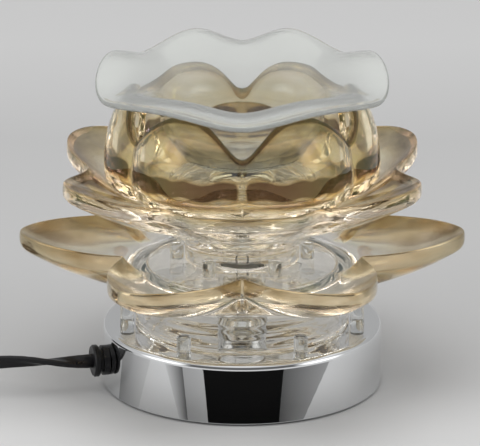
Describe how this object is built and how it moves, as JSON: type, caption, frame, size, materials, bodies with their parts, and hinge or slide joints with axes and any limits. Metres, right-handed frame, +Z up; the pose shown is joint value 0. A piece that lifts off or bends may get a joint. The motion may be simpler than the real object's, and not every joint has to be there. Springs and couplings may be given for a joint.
{
  "type": "electric wax melt warmer",
  "caption": "Touch-dimmed electric wax melt warmer: chrome drum base with a cord, a stacked pressed-glass lotus round a capsule lamp, and a loose ruffled glass dish.",
  "frame": {"origin": "on the table, under the lamp's axis at the centre of the base", "axes": "+Z up along the lamp's axis, -Y towards the viewer, the cord leaves towards -X"},
  "size_m": [0.3688, 0.1464, 0.1243],
  "materials": {
    "polished_chrome": "polished",
    "plain_steel": "satin",
    "black_plastic": "matt",
    "foot_rubber": "matt",
    "board_green": "satin",
    "capacitor_yellow": "gloss",
    "copper_winding": "enamelled copper",
    "terminal_brass": "plain",
    "white_ceramic": "unglazed",
    "lamp_glass": "clear",
    "lustre_glass": "clear with a gold lustre towards the rims",
    "frosted_glass": "frosted flare, clear well",
    "clear_acrylic": "clear",
    "lead_insulation": "satin",
    "cord_jacket": "satin"
  },
  "bodies": {
    "base": {"base_shell": "polished_chrome", "cover_posts": "plain_steel", "base_cover": "black_plastic", "feet": "foot_rubber", "cover_screws": "plain_steel", "circuit_board": "board_green", "board_screws": "plain_steel", "dimmer_capacitor": "capacitor_yellow", "dimmer_choke": "copper_winding", "dimmer_triac": "black_plastic", "dimmer_chip": "black_plastic", "lamp_nipple": "plain_steel", "nipple_nuts": "plain_steel", "touch_terminal": "terminal_brass", "holder_sleeve": "polished_chrome", "lamp_holder": "white_ceramic", "holder_contacts": "terminal_brass", "supply_leads": "lead_insulation", "lamp_leads": "lead_insulation", "touch_wire": "lead_insulation", "base_pegs": "clear_acrylic", "cord_bushing": "black_plastic", "cord": "cord_jacket", "cord_tail": "cord_jacket", "cord_coil": "cord_jacket", "cord_tie": "cord_jacket", "plug_body": "cord_jacket", "plug_blades": "terminal_brass"},
    "lamp": {"bulb_capsule": "lamp_glass", "bulb_pins": "plain_steel", "bulb_filament": "plain_steel"},
    "lower_glass": {"lower_tier": "lustre_glass", "tier_pegs": "clear_acrylic"},
    "middle_glass": {"middle_tier": "lustre_glass"},
    "upper_glass": {"upper_tier": "lustre_glass"},
    "dish_glass": {"dish": "frosted_glass"}
  },
  "joints": [
    {"name": "lamp_pull", "type": "slide", "parent": "base", "child": "lamp", "axis": [0, 0, 1], "range_m": [0, 0.005]},
    {"name": "lower_tier_lift", "type": "slide", "parent": "base", "child": "lower_glass", "axis": [0, 0, 1], "range_m": [0, 0.03]},
    {"name": "middle_tier_lift", "type": "slide", "parent": "lower_glass", "child": "middle_glass", "axis": [0, 0, 1], "range_m": [0, 0.03]},
    {"name": "upper_tier_lift", "type": "slide", "parent": "middle_glass", "child": "upper_glass", "axis": [0, 0, 1], "range_m": [0, 0.03]},
    {"name": "dish_lift", "type": "slide", "parent": "upper_glass", "child": "dish_glass", "axis": [0, 0, 1], "range_m": [0, 0.04]}
  ]
}
